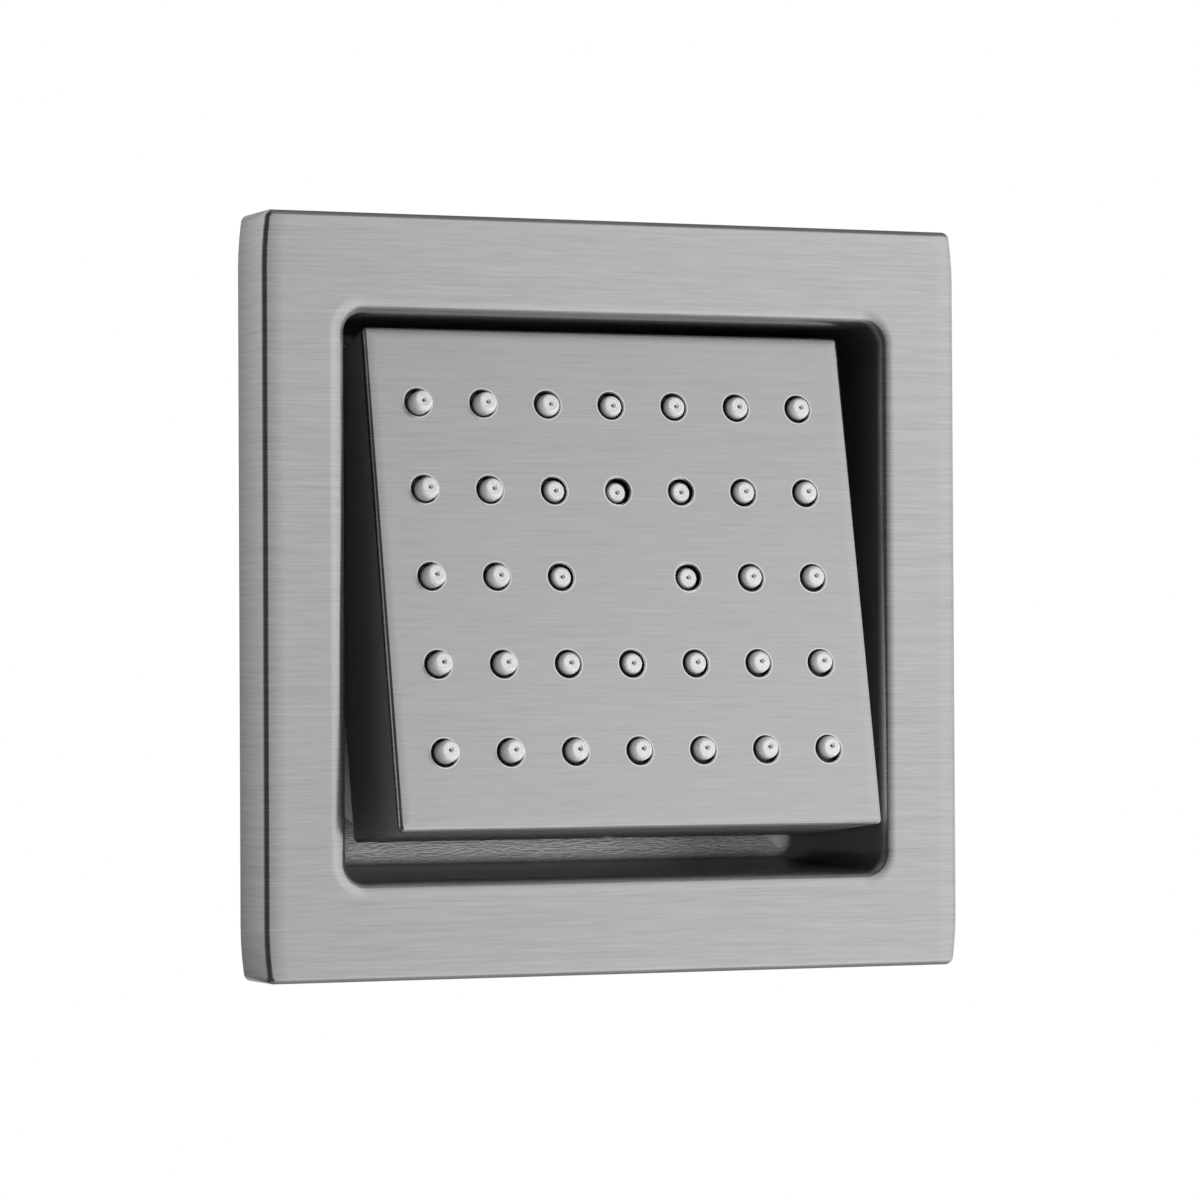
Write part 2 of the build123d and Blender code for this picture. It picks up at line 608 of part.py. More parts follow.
def main():
    os.makedirs("parts", exist_ok=True)
    for make in (face_frame, wall_gasket, mounting_plate, plate_screws, inlet_body, inlet_gasket,
                 locknut_washer, inlet_locknut, inlet_washer, filter_screen, flow_regulator,
                 ball_nipple, nipple_seal):
        write(make.__name__, make())
    for make in (friction_ring, head_shell, nozzle_mat, spray_chamber, socket_seal, collar_nut, set_screw):
        write(make.__name__, in_pose(make(), HEAD_TILT))


main()
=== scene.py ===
"""Looks of the recessed shower body jet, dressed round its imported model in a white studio. Metres."""
import json
import math

import bpy
from mathutils import Matrix, Vector


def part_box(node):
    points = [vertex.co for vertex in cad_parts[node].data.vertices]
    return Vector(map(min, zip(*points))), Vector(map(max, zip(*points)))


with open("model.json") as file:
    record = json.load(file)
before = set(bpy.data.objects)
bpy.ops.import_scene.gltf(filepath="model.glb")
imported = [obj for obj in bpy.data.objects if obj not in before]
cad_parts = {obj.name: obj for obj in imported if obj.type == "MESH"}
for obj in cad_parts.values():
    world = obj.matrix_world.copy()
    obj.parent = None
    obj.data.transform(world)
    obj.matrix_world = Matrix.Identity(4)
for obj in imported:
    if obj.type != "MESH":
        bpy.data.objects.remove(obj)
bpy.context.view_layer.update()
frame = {"nodes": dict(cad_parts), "record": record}
FRAME_LOW, FRAME_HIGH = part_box("face_frame")
MOUNTS = {mount["name"]: mount for mount in frame["record"]["mounts"]}
BALL_CENTRE = Vector(frame["record"]["behaviour"]["joints"][0]["pos_m"])
MM = 0.001

# Camera, at the photograph's viewing angle
CAMERA_AZIMUTH = -23.17                   # degrees; below zero is to the left of the spray face
CAMERA_ELEVATION = -0.96                  # degrees
CAMERA_ROLL = -0.29                       # degrees
CAMERA_DISTANCE = 0.771
CAMERA_LENS = 149.4                       # mm, on a sensor 36 mm wide
CAMERA_AIM = Vector((1.67 * MM, FRAME_LOW.y + 11.5 * MM, -0.23 * MM))
CLIP_START = 10.0 * MM

# Places on the face frame
FRONT_Y = FRAME_LOW.y
WALL_Y = MOUNTS["wall_face"]["pos_m"][1]
FLANGE_THICKNESS = 4.0 * MM               # the recess's floor, round its opening
FLOOR_Y = FRAME_HIGH.y - FLANGE_THICKNESS
FRAME_HALF = FRAME_HIGH.x
SIDE_BORDER = 13.05 * MM                  # frame's edge to the recess, left and right
TOP_BORDER = 15.0 * MM                    # the same above and below
RECESS_HALF_WIDTH = FRAME_HALF - SIDE_BORDER
RECESS_HALF_HEIGHT = FRAME_HALF - TOP_BORDER
RECESS_CORNER = 3.0 * MM
LIP = 1.1 * MM                            # rounding of the recess's mouth
MOUTH_CORNER = RECESS_CORNER + LIP        # outside that rounding
RIM_MIDDLE = FRAME_HALF - 1.9 * MM        # between the rim's inner and outer face
FOOT_BLEND = 1.9 * MM                     # over which the cast floor runs out up the walls
FLOOR_LIGHT_END = 30.0 * MM                      # height at which the painted light on the cast floor has faded into painted shade
RIM_BAND = 3.5 * MM                       # polished fall-off along the outer edge
RIM_DROP = 0.16 * MM
RIM_CORNER = 4.0 * MM
MOUTH_BAND = 1.8 * MM                     # and along the mouth
MOUTH_DROP = 0.26 * MM
MOUTH_INSET = 0.4 * MM                    # the mouth's fall-off starts later at the left and right
SIDE_BULGE = 0.35 * MM                    # outer sides are a little round from front to back

# Places on the spray head, from the ball's centre and level
HEAD_TILT = math.radians(11.2)            # upwards, in the photographed pose
FACE_PROUD = 2.5 * MM                     # spray face in front of the frame when level
FACE_Y = FRONT_Y - FACE_PROUD - BALL_CENTRE.y
SIDE_GAP = 4.76 * MM                      # head to recess, left and right
TOP_GAP = 3.84 * MM                       # the same above and below
HEAD_HALF_WIDTH = RECESS_HALF_WIDTH - SIDE_GAP
HEAD_HALF_HEIGHT = RECESS_HALF_HEIGHT - TOP_GAP
HEAD_BAND = 2.0 * MM                      # the spray face is a little round along its edge
HEAD_DROP = 0.08 * MM
SIDES_START = 0.5 * MM                    # depth at which the spray face ends
SIDES_FULL = 1.5 * MM                     # and the sides' own finish is full
LAST_COLUMN = 3.0                         # columns and rows from the middle one
LAST_ROW = 2.0
HOLE_MARGIN_X = 8.07 * MM                 # last column to the head's side
HOLE_MARGIN_Z = 11.78 * MM                # last row to the head's top or bottom
HOLE_PITCH_X = (HEAD_HALF_WIDTH - HOLE_MARGIN_X) / LAST_COLUMN
HOLE_PITCH_Z = (HEAD_HALF_HEIGHT - HOLE_MARGIN_Z) / LAST_ROW
NOZZLE_RADIUS = 1.7 * MM
NOZZLE_GAP = 0.35 * MM                    # nozzle to its hole
HOLE_RADIUS = NOZZLE_RADIUS + NOZZLE_GAP
HOLE_EDGE = 0.2 * MM                      # chamfer at each hole, polished, with a painted highlight on it
HOLE_SHADE_DEPTH = 0.3 * MM                      # depth from which painted shade makes a hole dark
RING_HIGHLIGHT_REACH = 0.1 * MM                  # painted highlight reaching beyond the chamfer
RING_FADE = 0.1 * MM                      # over which that painted highlight ends
TIP_FLAT = 0.55 * MM                      # radius of the level middle of a nozzle's tip
TIP_EDGE = 1.2 * MM                       # radius up to which the soft tip is pressed flat
TIP_RISE = 0.24 * MM                      # height that this fills up there
GAP_START = 0.7 * NOZZLE_RADIUS           # from where painted shade darkens a nozzle towards its hole
GAP_SHADE_START = -1.0 * MM                     # depth at which that painted shade starts, in front of the face
GAP_SHADE_FULL = 0.5 * MM                       # and at which the painted shade is full

# Pipe thread in the inlet
THREAD_PITCH = 1.814 * MM
THREAD_DEPTH = 0.5 * MM
THREAD_MARGIN = 0.3 * MM                  # reaches a little outside the bore
THREAD_RADIUS = MOUNTS["inlet"]["dims"]["r_mm"] * MM + THREAD_MARGIN
THREAD_LENGTH = MOUNTS["inlet"]["dims"]["length_mm"] * MM

# Brushed nickel; the fineness of a noise is per metre along X, Y and Z
NOISE_RANGE = (0.3, 0.7)                  # where most values of a noise lie
FINE_STREAKS = (130.0, 130.0, 4600.0)
BROAD_STREAKS = (45.0, 45.0, 1700.0)
BROAD_SHARE = 0.35
STREAK_DEPTH = 0.0035 * MM
LEAST_FLAT = 0.7                          # least upward part of the normal on faces that lie flat
BRUSHED_GREYS = (0.38, 0.79)
BRUSHED_ROUGHNESS = (0.21, 0.28)
RECESS_SHADE_GREYS = (0.42, 0.15)               # painted shade, lighter at the mouth and darker at the floor
RECESS_METALLIC = 0.95
RECESS_ROUGHNESS = 0.40
SIDE_GREY = 0.55                          # the head's sides
SIDE_METALLIC = 0.8
SIDE_ROUGHNESS = 0.42
RING_HIGHLIGHT_GREY = 0.95                          # polished rings round the holes, made brighter as a painted highlight
# painted shade inside the holes
HOLE_SHADE_GREY = 0.05
HOLE_ROUGHNESS = 0.6

# Rough casting
CAST_GRAIN = (900.0, 3500.0, 4200.0)
CAST_DETAIL = 4.0
CAST_RANGE = (0.35, 0.65)                 # of the grain, from dark to light
CAST_DEPTH = 0.25 * MM
CAST_DARK = (0.20, 0.74)                  # greys of dark grains, at the back and on the floor where its painted light is full
CAST_LIGHT = (0.40, 0.95)                 # and of light ones
CAST_METALLIC = (0.3, 0.1)                # at the back and on the floor where its painted light is full
CAST_ROUGHNESS = 0.5

# Silicone
MOTTLE = (900.0, 900.0, 900.0)
MOTTLE_DETAIL = 3.0
MOTTLE_DEPTH = 0.02 * MM
SILICONE_GREYS = (0.62, 0.72)
SILICONE_ROUGHNESS = (0.38, 0.52)
# painted shade down in the gaps between the nozzles and their holes
GAP_SHADE_GREY = 0.04
SOFT_LIGHT = {
    "Subsurface Weight": 0.05,
    "Subsurface Scale": 1.0 * MM,
    "Subsurface Radius": (1.0, 1.0, 1.0),
}

# Turned brass
TURNS = (60.0, 6500.0, 60.0)
TURN_DEPTH = 0.01 * MM
BRASS_DARK = (0.60, 0.44, 0.18, 1.0)
BRASS_LIGHT = (0.74, 0.57, 0.27, 1.0)
BRASS_ROUGHNESS = (0.20, 0.34)
TARNISH = (180.0, 180.0, 180.0)
TARNISH_DETAIL = 4.0
TARNISH_RANGE = (0.5, 0.75)               # of the noise, from clean to the most tarnish
MOST_TARNISH = 0.6
BRASS_TARNISHED = (0.36, 0.24, 0.10, 1.0)

# Studio in reflections; a step is two angles in degrees and the light's levels before and after them
WINDOW_ROUND = (                          # to the right of straight ahead
    (-10.0, 36.0, 0.0, 1.0),
    (27.0, 46.0, 1.0, 0.77),
    (90.0, 160.0, 1.0, 0.6),
)
WINDOW_UP = (                             # above level
    (-58.0, -25.0, 0.42, 1.12),
    (-20.0, -6.0, 1.0, 0.89),
    (1.0, 15.0, 1.0, 1.1),
    (15.0, 44.0, 1.0, 0.25),
)
LEFT_ROUND = (                            # to the left of straight ahead
    (55.0, 118.0, 0.0, 1.0),
    (140.0, 185.0, 1.0, 0.4),
)
LEFT_UP = (                               # above level
    (-45.0, -15.0, 0.0, 1.0),
    (-11.0, 11.0, 0.36, 0.74),
)
TABLE_UP = (-75.0, -50.0, 0.25, 0.0)      # one step, above level
DARK_FLAGS = 0.05                         # least light, between the walls
PLAIN_LIGHT = 0.2                         # of the world on surfaces that don't reflect it
WHITE = 1.0

# Floor
FLOOR_REACH = 6.0
FLOOR_Z = -0.32
FLOOR_GREY = 0.86
FLOOR_ROUGHNESS = 0.8
FLOOR_FADE = (0.2, 0.8)                   # distances between which it goes over into white


def grey(level):
    return (level, level, level, 1.0)


class Nodes:
    """A node tree to which nodes are added step by step."""

    def __init__(self, tree):
        self.tree = tree

    def add(self, kind, inputs=None, **settings):
        """Adds a node, with its inputs by socket and its settings by name."""
        node = self.tree.nodes.new(kind)
        for name, value in settings.items():
            setattr(node, name, value)
        for socket, value in (inputs or {}).items():
            self.feed(node.inputs[socket], value)
        return node

    def feed(self, socket, value):
        """Links an output to a socket, or sets the socket's own value."""
        if isinstance(value, bpy.types.NodeSocket):
            self.tree.links.new(value, socket)
        else:
            socket.default_value = value

    def math(self, operation, first, second=0.0):
        return self.add("ShaderNodeMath", {0: first, 1: second}, operation=operation).outputs[0]

    def most(self, *values):
        """The largest of several numbers."""
        largest = values[0]
        for value in values[1:]:
            largest = self.math("MAXIMUM", largest, value)
        return largest

    def product(self, *values):
        """Several numbers multiplied together."""
        result = values[0]
        for value in values[1:]:
            result = self.math("MULTIPLY", result, value)
        return result

    def length(self, first, second):
        squares = self.math("ADD", self.product(first, first), self.product(second, second))
        return self.math("SQRT", squares)

    def split(self, vector):
        """The x, y and z of a vector."""
        return self.add("ShaderNodeSeparateXYZ", {0: vector}).outputs[:]

    def span(self, value, start, end, low=0.0, high=1.0):
        """Goes from low to high, smoothly, as a value goes from start to end."""
        inputs = {"Value": value, "From Min": start, "From Max": end, "To Min": low, "To Max": high}
        return self.add("ShaderNodeMapRange", inputs, interpolation_type="SMOOTHSTEP").outputs[0]

    def glow(self, strength):
        return self.add("ShaderNodeBackground", {"Color": grey(1.0), "Strength": strength}).outputs[0]

    def mix_shaders(self, share, first, second):
        return self.add("ShaderNodeMixShader", {0: share, 1: first, 2: second}).outputs[0]


class Shader(Nodes):
    """A procedural material round one principled surface."""

    def __init__(self, name, constants):
        self.material = bpy.data.materials.new(name)
        self.material.use_nodes = True
        super().__init__(self.material.node_tree)
        self.surface = self.tree.nodes["Principled BSDF"]
        self.place = self.add("ShaderNodeTexCoord").outputs["Object"]
        for socket, value in constants.items():
            self.surface.inputs[socket].default_value = value

    def drive(self, socket, value):
        self.feed(self.surface.inputs[socket], value)

    def noise(self, per_metre, detail=2.0, place=None):
        """Noise from 0 to 1, with its own fineness along each axis."""
        mapping = {"Vector": place or self.place, "Scale": per_metre}
        vector = self.add("ShaderNodeMapping", mapping).outputs[0]
        texture = {"Vector": vector, "Scale": 1.0, "Detail": detail}
        return self.add("ShaderNodeTexNoise", texture).outputs["Fac"]

    def over_noise(self, noise, low=0.0, high=1.0):
        """Goes from low to high over the usual range of a noise."""
        return self.span(noise, *NOISE_RANGE, low, high)

    def blend(self, share, first, second):
        """One number that goes from first to second with the share."""
        return self.add("ShaderNodeMix", {0: share, 2: first, 3: second}).outputs[0]

    def tint(self, share, first, second):
        """One colour that goes from first to second with the share."""
        return self.add("ShaderNodeMix", {0: share, 6: first, 7: second}, data_type="RGBA").outputs[2]

    def shade(self, share, first, second):
        """One grey that goes from the first level to the second with the share."""
        return self.tint(share, grey(first), grey(second))

    def relief(self, height, depth, under=None):
        """Bump of a given depth in metres, from a height of 0 to 1, on top of another one."""
        inputs = {"Height": height, "Distance": depth}
        if under is not None:
            inputs["Normal"] = under
        return self.add("ShaderNodeBump", inputs).outputs[0]

    def outside(self, across, up, half_width, half_height, corner=0.0):
        """How far a place lies outside a rectangle with round corners; negative inside it."""
        beside = self.math("SUBTRACT", self.math("ABSOLUTE", across), half_width - corner)
        over = self.math("SUBTRACT", self.math("ABSOLUTE", up), half_height - corner)
        inside = self.math("MINIMUM", self.most(beside, over), 0.0)
        past_corner = self.length(self.most(beside, 0.0), self.most(over, 0.0))
        return self.math("SUBTRACT", self.math("ADD", inside, past_corner), corner)

    def fall_off(self, distance, band):
        """Height that drops from 0 to -1, ever more steeply, over a band that ends at an edge."""
        missing = self.math("SUBTRACT", 1.0, self.math("DIVIDE", distance, band))
        missing = self.most(missing, 0.0)
        return self.product(missing, missing, -1.0)


# Brushing, and the face frame's finish


def brush_streaks(shader):
    """Fine level scratches, one above the other on upright faces and one behind the other on flat ones."""
    x, y, z = shader.split(shader.place)
    normal = shader.add("ShaderNodeTexCoord").outputs["Normal"]
    upward = shader.math("ABSOLUTE", shader.split(normal)[2])
    lies_flat = shader.math("GREATER_THAN", upward, LEAST_FLAT)
    across = shader.blend(lies_flat, z, y)
    along = shader.blend(lies_flat, y, z)
    place = shader.add("ShaderNodeCombineXYZ", {0: x, 1: along, 2: across}).outputs[0]
    fine = shader.noise(FINE_STREAKS, place=place)
    broad = shader.noise(BROAD_STREAKS, place=place)
    return shader.blend(BROAD_SHARE, fine, broad)


def brushed_colour(shader, streaks):
    return shader.shade(streaks, *BRUSHED_GREYS)


def brushed_roughness(shader, streaks):
    return shader.over_noise(streaks, *BRUSHED_ROUGHNESS)


def frame_zones(shader, x, y, z):
    """Masks of the recess's inside, of its cast floor and of the cast back of the frame."""
    past_walls = shader.outside(x, z, RECESS_HALF_WIDTH, RECESS_HALF_HEIGHT, RECESS_CORNER)
    recess = shader.span(past_walls, 0.0, LIP, 1.0, 0.0)
    floor = shader.product(recess, shader.span(y, FLOOR_Y - FOOT_BLEND, FLOOR_Y))
    from_middle = shader.most(shader.math("ABSOLUTE", x), shader.math("ABSOLUTE", z))
    within_rim = shader.math("LESS_THAN", from_middle, RIM_MIDDLE)
    behind_face = shader.math("GREATER_THAN", y, FRONT_Y + LIP)
    out_of_recess = shader.math("LESS_THAN", recess, 0.5)
    back = shader.product(within_rim, behind_face, out_of_recess)
    return recess, floor, back


def cast_colour(shader, grain, pale):
    dark = shader.shade(pale, *CAST_DARK)
    light = shader.shade(pale, *CAST_LIGHT)
    return shader.tint(shader.span(grain, *CAST_RANGE), dark, light)


def bulged_sides(shader, y, to_rim):
    """Relief of the frame's outer sides, highest half-way between the front and the wall."""
    from_middle = shader.math("SUBTRACT", y, (FRONT_Y + WALL_Y) / 2)
    share = shader.math("DIVIDE", from_middle, (WALL_Y - FRONT_Y) / 2)
    rise = shader.math("SUBTRACT", 1.0, shader.product(share, share))
    on_side = shader.span(to_rim, 0.0, LIP, 1.0, 0.0)
    return shader.relief(shader.product(rise, on_side), SIDE_BULGE)


def worn_edges(shader, x, y, z):
    """Relief of the polished fall-off along the frame's outer edge and its mouth, on its bulged sides."""
    to_rim = shader.product(shader.outside(x, z, FRAME_HALF, FRAME_HALF, RIM_CORNER), -1.0)
    sides = bulged_sides(shader, y, to_rim)
    rim = shader.relief(shader.fall_off(to_rim, RIM_BAND), RIM_DROP, sides)
    mouth_half_width = RECESS_HALF_WIDTH + LIP - MOUTH_INSET
    to_mouth = shader.outside(x, z, mouth_half_width, RECESS_HALF_HEIGHT + LIP, MOUTH_CORNER)
    return shader.relief(shader.fall_off(to_mouth, MOUTH_BAND), MOUTH_DROP, rim)


def brushed_nickel_frame():
    """Brushed outside, plating in the recess darkened deeper in by painted shade, and rough casting on its
    floor and at the back; the floor has painted light low down and painted shade towards the top.
    """
    shader = Shader("brushed_nickel_frame", {})
    x, y, z = shader.split(shader.place)
    streaks = brush_streaks(shader)
    recess, floor, back = frame_zones(shader, x, y, z)
    cast = shader.most(floor, back)
    grain = shader.noise(CAST_GRAIN, CAST_DETAIL)
    # pale: painted light on the cast floor low down, fading to painted shade towards the top
    pale = shader.product(floor, shader.span(z, 0.0, FLOOR_LIGHT_END, 1.0, 0.0))
    # inside: painted shade that darkens the recess's plating deeper in
    deeper = shader.span(y, FRONT_Y, FLOOR_Y - FOOT_BLEND)
    inside = shader.shade(deeper, *RECESS_SHADE_GREYS)
    plated = shader.tint(recess, brushed_colour(shader, streaks), inside)
    shader.drive("Base Color", shader.tint(cast, plated, cast_colour(shader, grain, pale)))
    plated_metal = shader.blend(recess, 1.0, RECESS_METALLIC)
    shader.drive("Metallic", shader.blend(cast, plated_metal, shader.blend(pale, *CAST_METALLIC)))
    plated_roughness = shader.blend(recess, brushed_roughness(shader, streaks), RECESS_ROUGHNESS)
    shader.drive("Roughness", shader.blend(cast, plated_roughness, CAST_ROUGHNESS))
    height = shader.blend(cast, shader.product(streaks, STREAK_DEPTH / CAST_DEPTH), grain)
    shader.drive("Normal", shader.relief(height, CAST_DEPTH, worn_edges(shader, x, y, z)))
    return shader.material


# Finishes of the spray head


def place_on_head(shader):
    """X, depth behind the spray face and Z of a place, from the ball's centre with the head level."""
    turned_back = {"Vector": shader.place, "Location": BALL_CENTRE, "Rotation": (-HEAD_TILT, 0, 0)}
    level_place = shader.add("ShaderNodeMapping", turned_back, vector_type="TEXTURE").outputs[0]
    x, y, z = shader.split(level_place)
    return x, shader.math("SUBTRACT", y, FACE_Y), z


def from_nearest(shader, place, pitch, last):
    """Distance to the nearest of a row of evenly spaced lines, up to the last one on each side."""
    count = shader.math("ROUND", shader.math("DIVIDE", place, pitch))
    held = shader.math("MINIMUM", shader.most(count, -last), last)
    return shader.math("SUBTRACT", place, shader.product(held, pitch))


def from_hole(shader, x, z):
    """Distance to the axis of the nearest nozzle hole."""
    across = from_nearest(shader, x, HOLE_PITCH_X, LAST_COLUMN)
    up = from_nearest(shader, z, HOLE_PITCH_Z, LAST_ROW)
    return shader.length(across, up)


def hole_zones(shader, x, depth, z):
    """Masks of the polished rings at the nozzle holes, brightened as a painted highlight, and of the
    painted shade in the holes behind; the middle has none.
    """
    ring_end = HOLE_RADIUS + HOLE_EDGE + RING_HIGHLIGHT_REACH
    at_hole = shader.span(from_hole(shader, x, z), ring_end, ring_end + RING_FADE, 1.0, 0.0)
    past_middle = shader.outside(x, z, HOLE_PITCH_X / 2, HOLE_PITCH_Z / 2)
    highlighted_rings = shader.product(at_hole, shader.math("GREATER_THAN", past_middle, 0.0))
    hole_shade = shader.product(highlighted_rings, shader.span(depth, HOLE_EDGE, HOLE_SHADE_DEPTH))
    return highlighted_rings, hole_shade


def brushed_nickel_head():
    """Brushed spray face with polished rings brightened by a painted highlight, painted shade in its holes,
    and plainer sides.
    """
    shader = Shader("brushed_nickel_head", {})
    streaks = brush_streaks(shader)
    x, depth, z = place_on_head(shader)
    highlighted_rings, hole_shade = hole_zones(shader, x, depth, z)
    sides = shader.span(depth, SIDES_START, SIDES_FULL)
    brushed = shader.tint(sides, brushed_colour(shader, streaks), grey(SIDE_GREY))
    # painted highlight on the rings round the holes, then painted shade inside them
    ringed = shader.tint(highlighted_rings, brushed, grey(RING_HIGHLIGHT_GREY))
    shader.drive("Base Color", shader.tint(hole_shade, ringed, grey(HOLE_SHADE_GREY)))
    shader.drive("Metallic", shader.blend(sides, 1.0, SIDE_METALLIC))
    roughness = shader.blend(sides, brushed_roughness(shader, streaks), SIDE_ROUGHNESS)
    shader.drive("Roughness", shader.blend(hole_shade, roughness, HOLE_ROUGHNESS))
    to_edge = shader.product(shader.outside(x, z, HEAD_HALF_WIDTH, HEAD_HALF_HEIGHT), -1.0)
    rounded = shader.relief(shader.fall_off(to_edge, HEAD_BAND), HEAD_DROP)
    shader.drive("Normal", shader.relief(streaks, STREAK_DEPTH, rounded))
    return shader.material


def pressed_tips(shader, radius):
    """Relief that fills up the rounding next to the middle of each nozzle's tip."""
    limits = {"Value": radius, "From Min": TIP_FLAT, "From Max": TIP_EDGE}
    share = shader.add("ShaderNodeMapRange", limits).outputs[0]
    return shader.relief(shader.product(share, share), TIP_RISE)


def silicone():
    """Soft pale grey rubber with faint mottling, and painted shade on the nozzles down in their holes."""
    shader = Shader("silicone", SOFT_LIGHT)
    mottle = shader.noise(MOTTLE, MOTTLE_DETAIL)
    pale = shader.shade(mottle, *SILICONE_GREYS)
    x, depth, z = place_on_head(shader)
    radius = from_hole(shader, x, z)
    # painted shade on each nozzle's side down in its hole
    in_gap = shader.span(radius, GAP_START, NOZZLE_RADIUS)
    gap_shade = shader.product(in_gap, shader.span(depth, GAP_SHADE_START, GAP_SHADE_FULL))
    shader.drive("Base Color", shader.tint(gap_shade, pale, grey(GAP_SHADE_GREY)))
    shader.drive("Roughness", shader.over_noise(mottle, *SILICONE_ROUGHNESS))
    shader.drive("Normal", shader.relief(mottle, MOTTLE_DEPTH, pressed_tips(shader, radius)))
    return shader.material


# Other materials


def thread_height(shader):
    """Height of a pipe thread wound inside the inlet's bore, and level elsewhere."""
    x, y, z = shader.split(shader.place)
    in_bore = shader.math("LESS_THAN", shader.length(x, z), THREAD_RADIUS)
    near_mouth = shader.math("GREATER_THAN", y, -THREAD_LENGTH)
    turn = shader.math("ARCTAN2", z, x)
    wound = shader.math("ADD", shader.product(y, 2 * math.pi / THREAD_PITCH), turn)
    wave = shader.span(shader.math("SINE", wound), -1.0, 1.0)
    return shader.product(wave, shader.product(in_bore, near_mouth))


def turned_brass(name, threaded):
    """Brass with fine rings from the lathe, a little tarnish and, in the inlet, a pipe thread."""
    shader = Shader(name, {"Metallic": 1.0})
    turns = shader.noise(TURNS)
    tarnish = shader.noise(TARNISH, TARNISH_DETAIL)
    clean = shader.tint(turns, BRASS_DARK, BRASS_LIGHT)
    dulled = shader.span(tarnish, *TARNISH_RANGE, 0.0, MOST_TARNISH)
    shader.drive("Base Color", shader.tint(dulled, clean, BRASS_TARNISHED))
    shader.drive("Roughness", shader.over_noise(turns, *BRASS_ROUGHNESS))
    surface = shader.relief(turns, TURN_DEPTH)
    if threaded:
        surface = shader.relief(thread_height(shader), THREAD_DEPTH, surface)
    shader.drive("Normal", surface)
    return shader.material


def grained(name, fineness, dark, light, roughness, depth=None, metallic=0.0, detail=3.0, strong=False):
    """Material whose colour, roughness and relief follow one grain, its colour more strongly if asked."""
    shader = Shader(name, {"Metallic": metallic})
    grain = shader.noise(fineness, detail)
    share = shader.over_noise(grain) if strong else grain
    shader.drive("Base Color", shader.tint(share, dark, light))
    shader.drive("Roughness", shader.over_noise(grain, *roughness))
    if depth is not None:
        shader.drive("Normal", shader.relief(grain, depth))
    return shader.material


def stainless():
    """Bright fasteners, with upright rolling marks."""
    return grained(
        "stainless", fineness=(2400.0, 2400.0, 60.0), dark=grey(0.55), light=grey(0.78),
        roughness=(0.18, 0.32), depth=0.008 * MM, metallic=1.0)


def satin_sheet():
    """Pale satin sheet of the mounting plate, with upright rolling marks."""
    return grained(
        "satin_sheet", fineness=(1500.0, 1500.0, 40.0), dark=grey(0.70), light=grey(0.95),
        roughness=(0.35, 0.5), depth=0.008 * MM, metallic=0.1, strong=True)


def plated_ball():
    """Polished plating, a little worn."""
    return grained(
        "plated_ball", fineness=(500.0, 900.0, 500.0), dark=grey(0.66), light=grey(0.78),
        roughness=(0.05, 0.14), metallic=1.0)


def foam():
    return grained(
        "foam", fineness=(1500.0, 1500.0, 1500.0), dark=grey(0.05), light=grey(0.14),
        roughness=(0.75, 0.95), depth=0.3 * MM, detail=4.0)


def black_rubber():
    return grained(
        "black_rubber", fineness=(2500.0, 2500.0, 2500.0), dark=grey(0.025), light=grey(0.045),
        roughness=(0.45, 0.65), depth=0.03 * MM, detail=4.0)


def plastic(name, dark, light, roughness):
    """Moulded plastic with a faint texture from the mould."""
    return grained(
        name, fineness=(1800.0, 1800.0, 1800.0), dark=dark, light=light,
        roughness=roughness, depth=0.015 * MM)


def white_acetal():
    return plastic(
        "white_acetal", dark=(0.76, 0.76, 0.73, 1.0), light=(0.84, 0.84, 0.81, 1.0), roughness=(0.29, 0.41))


def grey_moulding():
    return plastic("grey_moulding", dark=grey(0.055), light=grey(0.085), roughness=(0.39, 0.51))


def dress_nodes():
    """Gives each node the material of its slot, and three of them one of their own."""
    slots = {
        "brushed_nickel": brushed_nickel_head(),
        "stainless": stainless(),
        "brass": turned_brass("brass", False),
        "plated_ball": plated_ball(),
        "silicone": silicone(),
        "foam": foam(),
        "black_rubber": black_rubber(),
        "white_acetal": white_acetal(),
        "grey_moulding": grey_moulding(),
    }
    chosen = {row["node"]: slots[row["material_slot"]] for row in frame["record"]["subparts"]}
    chosen["face_frame"] = brushed_nickel_frame()
    chosen["mounting_plate"] = satin_sheet()
    chosen["inlet_body"] = turned_brass("brass_inlet", True)
    for name, node in frame["nodes"].items():
        node.data.materials.clear()
        node.data.materials.append(chosen[name])


# Studio


def wall_light(nodes, turn, turn_steps, above, height_steps):
    """Light from one wall: its steps by degrees round the object and above level, multiplied together."""
    by_turn = [nodes.span(turn, *step) for step in turn_steps]
    by_height = [nodes.span(above, *step) for step in height_steps]
    return nodes.product(*by_turn, *by_height)


def studio_reflection(nodes):
    """Strength of the studio: a soft window ahead and to the right, a left wall, a table and dark flags."""
    x, y, z = nodes.split(nodes.add("ShaderNodeTexCoord").outputs["Generated"])
    to_right = nodes.math("DEGREES", nodes.math("ARCTAN2", x, nodes.product(y, -1.0)))
    to_left = nodes.product(to_right, -1.0)
    above = nodes.math("DEGREES", nodes.math("ARCSINE", z))
    window = wall_light(nodes, to_right, WINDOW_ROUND, above, WINDOW_UP)
    left_wall = wall_light(nodes, to_left, LEFT_ROUND, above, LEFT_UP)
    table = nodes.span(above, *TABLE_UP)
    return nodes.most(DARK_FLAGS, window, left_wall, table)


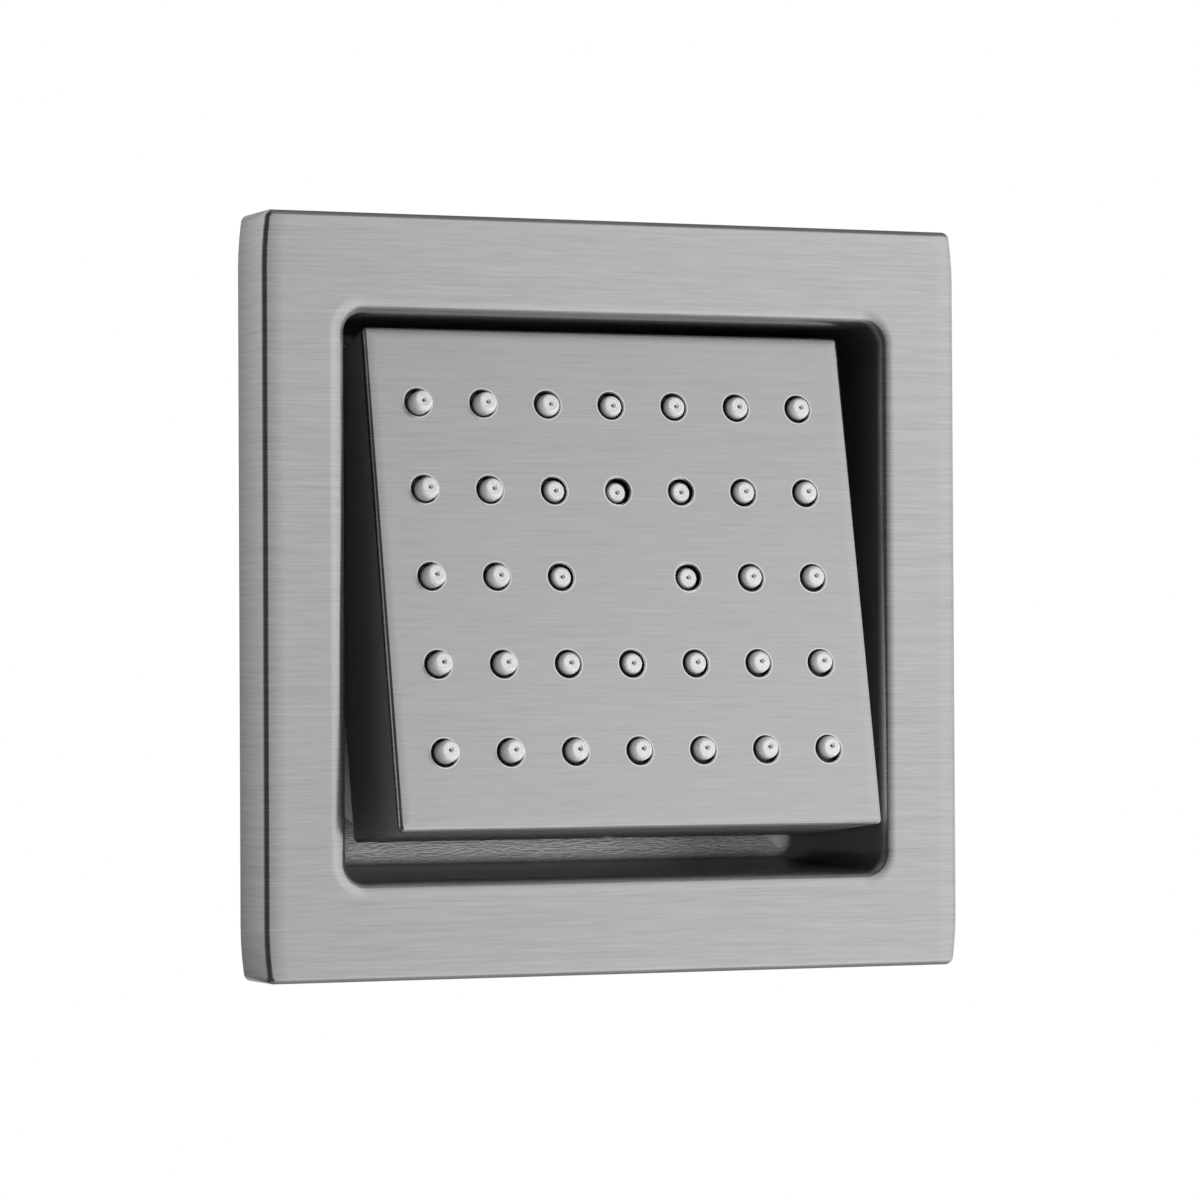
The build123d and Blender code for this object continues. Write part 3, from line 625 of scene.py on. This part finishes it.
def make_world():
    """White behind the object, the studio's window and flags in reflections, and plain light elsewhere."""
    world = bpy.data.worlds.new("studio")
    world.use_nodes = True
    world.cycles.sampling_method = "NONE"
    nodes = Nodes(world.node_tree)
    path = nodes.add("ShaderNodeLightPath").outputs
    studio = nodes.glow(studio_reflection(nodes))
    reflected = nodes.mix_shaders(path["Is Glossy Ray"], nodes.glow(PLAIN_LIGHT), studio)
    seen = nodes.most(path["Is Camera Ray"], path["Is Transmission Ray"])
    mixed = nodes.mix_shaders(seen, reflected, nodes.glow(WHITE))
    nodes.feed(nodes.tree.nodes["World Output"].inputs["Surface"], mixed)
    bpy.context.scene.world = world


def make_floor():
    """Pale floor below the object, which goes over into white further out."""
    reach = FLOOR_REACH
    corners = [(-reach, -reach, 0), (reach, -reach, 0), (reach, reach, 0), (-reach, reach, 0)]
    mesh = bpy.data.meshes.new("floor")
    mesh.from_pydata(corners, [], [(0, 1, 2, 3)])
    floor = bpy.data.objects.new("floor", mesh)
    floor.location = (0, 0, FLOOR_Z)
    floor.visible_glossy = False
    bpy.context.scene.collection.objects.link(floor)
    shader = Shader("floor", {"Base Color": grey(FLOOR_GREY), "Roughness": FLOOR_ROUGHNESS})
    distance = shader.add("ShaderNodeVectorMath", {0: shader.place}, operation="LENGTH").outputs["Value"]
    white = shader.add("ShaderNodeEmission", {"Strength": WHITE}).outputs[0]
    seen = shader.add("ShaderNodeLightPath").outputs["Is Camera Ray"]
    far = shader.product(shader.span(distance, *FLOOR_FADE), seen)
    mixed = shader.mix_shaders(far, shader.surface.outputs[0], white)
    shader.feed(shader.tree.nodes["Material Output"].inputs["Surface"], mixed)
    mesh.materials.append(shader.material)


def from_object(azimuth, elevation, distance):
    """Place at a distance from the object, round to the right of the spray face and above it by degrees."""
    round_right = math.radians(azimuth)
    up = math.radians(elevation)
    level = Vector((math.sin(round_right), -math.cos(round_right), 0)) * math.cos(up)
    return CAMERA_AIM + distance * (level + Vector((0, 0, math.sin(up))))


def make_lamp(name, azimuth, elevation, distance, size, power):
    """Square soft lamp that looks at the object; the world's window stands for it in reflections."""
    lamp = bpy.data.lights.new(name, "AREA")
    lamp.shape = "SQUARE"
    lamp.size = size
    lamp.energy = power
    place = from_object(azimuth, elevation, distance)
    holder = bpy.data.objects.new(name, lamp)
    holder.location = place
    holder.rotation_mode = "QUATERNION"
    holder.rotation_quaternion = (place - CAMERA_AIM).to_track_quat("Z", "Y")
    holder.visible_glossy = False
    bpy.context.scene.collection.objects.link(holder)


def make_camera():
    """Camera that looks at its aim, rolled a little."""
    place = from_object(CAMERA_AZIMUTH, CAMERA_ELEVATION, CAMERA_DISTANCE)
    back = (place - CAMERA_AIM).normalized()
    azimuth = math.radians(CAMERA_AZIMUTH)
    roll = math.radians(CAMERA_ROLL)
    level = Vector((math.cos(azimuth), math.sin(azimuth), 0))
    above = back.cross(level)
    right = math.cos(roll) * level + math.sin(roll) * above
    up = math.cos(roll) * above - math.sin(roll) * level
    camera = bpy.data.objects.new("camera", bpy.data.cameras.new("camera"))
    camera.data.lens = CAMERA_LENS
    camera.data.clip_start = CLIP_START
    turned = Matrix((right, up, back)).transposed().to_4x4()
    camera.matrix_world = Matrix.Translation(place) @ turned
    bpy.context.scene.collection.objects.link(camera)
    bpy.context.scene.camera = camera


def make_studio():
    make_world()
    make_floor()
    make_lamp("key", azimuth=42.0, elevation=2.0, distance=1.05, size=0.4, power=8.5)
    make_lamp("fill", azimuth=-22.5, elevation=-1.5, distance=1.10, size=0.10, power=2.8)
    make_lamp("rear", azimuth=143.0, elevation=27.0, distance=1.10, size=0.6, power=5.0)
    make_camera()
    bpy.context.scene.view_settings.view_transform = "Standard"


dress_nodes()
make_studio()
